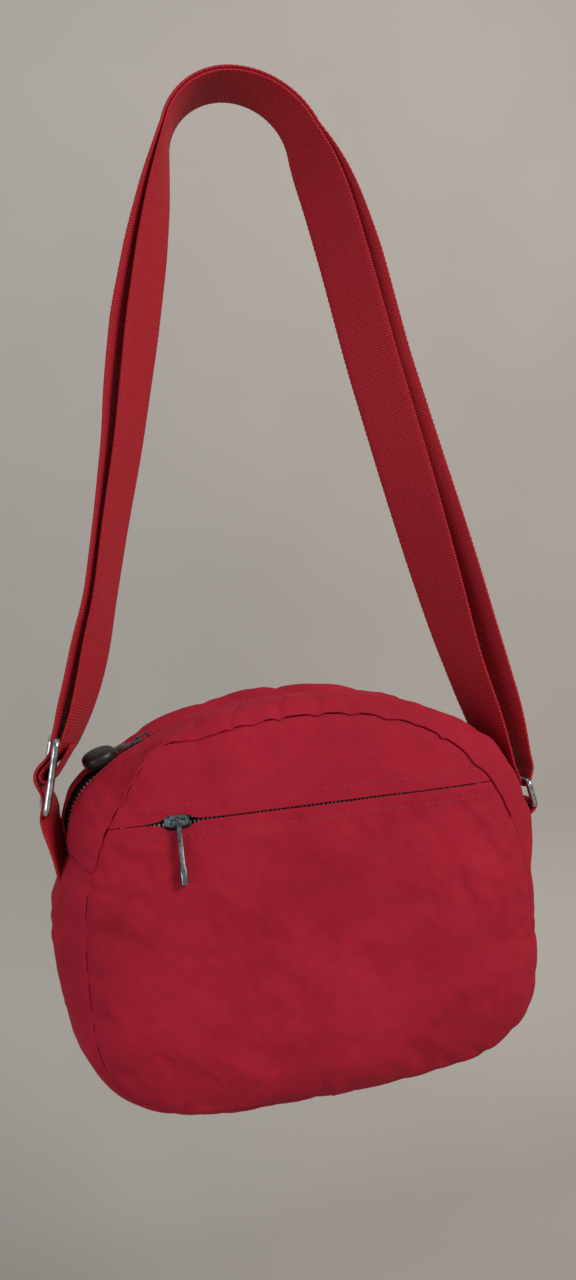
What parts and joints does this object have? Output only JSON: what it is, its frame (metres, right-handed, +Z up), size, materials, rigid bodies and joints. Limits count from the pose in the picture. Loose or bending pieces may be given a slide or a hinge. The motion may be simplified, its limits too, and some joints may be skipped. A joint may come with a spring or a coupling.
{
  "type": "shoulder bag",
  "caption": "Small D-shaped red nylon shoulder bag hanging from its doubled webbing strap, with an arched top zip, a front zip pocket, a steel strap adjuster and a steel side ring",
  "frame": {"origin": "the underside of the strap's top bend, where a hand or hook carries the bag", "axes": "+X across the bag, towards the side ring, +Y from the front pocket to the back, +Z up along the strap"},
  "size_m": [0.2659, 0.0872, 0.5402],
  "materials": {
    "shell": "matte",
    "lining": "matte",
    "binding": "matte",
    "webbing": "matte",
    "zip_tape": "matte",
    "zip_teeth": "satin",
    "steel": "polished",
    "black_rubber": "matte"
  },
  "bodies": {
    "bag": {"front_panel_upper": "shell", "front_panel_lower": "shell", "back_panel": "shell", "gusset": "shell", "top_strip_front": "shell", "top_strip_rear": "shell", "pocket_welt_upper": "shell", "pocket_welt_lower": "shell", "pocket_lining": "lining", "back_lining": "lining", "gusset_lining": "lining", "slip_pocket": "lining", "seam_binding_front": "binding", "seam_binding_back": "binding", "main_zip_tape_front": "zip_tape", "main_zip_tape_rear": "zip_tape", "pocket_zip_tapes": "zip_tape", "main_zip_teeth_front": "zip_teeth", "main_zip_teeth_rear": "zip_teeth", "main_zip_stops": "zip_teeth", "pocket_zip_teeth": "zip_teeth", "pocket_zip_stops": "zip_teeth", "strap_grip_inner": "webbing", "strap_grip_outer": "webbing", "strap_left_inner": "webbing", "strap_left_outer": "webbing", "strap_right_inner": "webbing", "strap_right_outer": "webbing", "strap_adjuster_pass": "webbing", "strap_sewn_end": "webbing", "anchor_webbing": "webbing", "adjuster_frame": "steel", "ring_tab": "webbing"},
    "main_zip_slider": {"main_slider": "steel"},
    "main_zip_pull": {"main_pull_link": "steel", "main_pull_disc": "black_rubber"},
    "pocket_zip_slider": {"pocket_slider": "steel"},
    "pocket_zip_pull": {"pocket_pull": "steel"},
    "strap_ring": {"side_ring": "steel", "strap_ring_fold": "webbing"}
  },
  "joints": [
    {"name": "main_slider_travel", "type": "hinge", "parent": "bag", "child": "main_zip_slider", "pos_m": [0, 0, -0.5315], "axis": [0, 1, 0], "range_deg": [-3.5, 44]},
    {"name": "main_pull_swing", "type": "hinge", "parent": "main_zip_slider", "child": "main_zip_pull", "pos_m": [-0.07867, 0, -0.34898], "axis": [0, 1, 0], "range_deg": [0, 150]},
    {"name": "pocket_slider_travel", "type": "slide", "parent": "bag", "child": "pocket_zip_slider", "axis": [1, 0, 0], "range_m": [-0.018, 0.15]},
    {"name": "pocket_pull_swing", "type": "hinge", "parent": "pocket_zip_slider", "child": "pocket_zip_pull", "pos_m": [-0.0665, -0.0396, -0.388], "axis": [-1, 0, 0], "range_deg": [0, 165]},
    {"name": "side_ring_pivot", "type": "hinge", "parent": "bag", "child": "strap_ring", "pos_m": [0.13056, 0, -0.4065], "axis": [0, 1, 0], "range_deg": [-6, 6]}
  ]
}
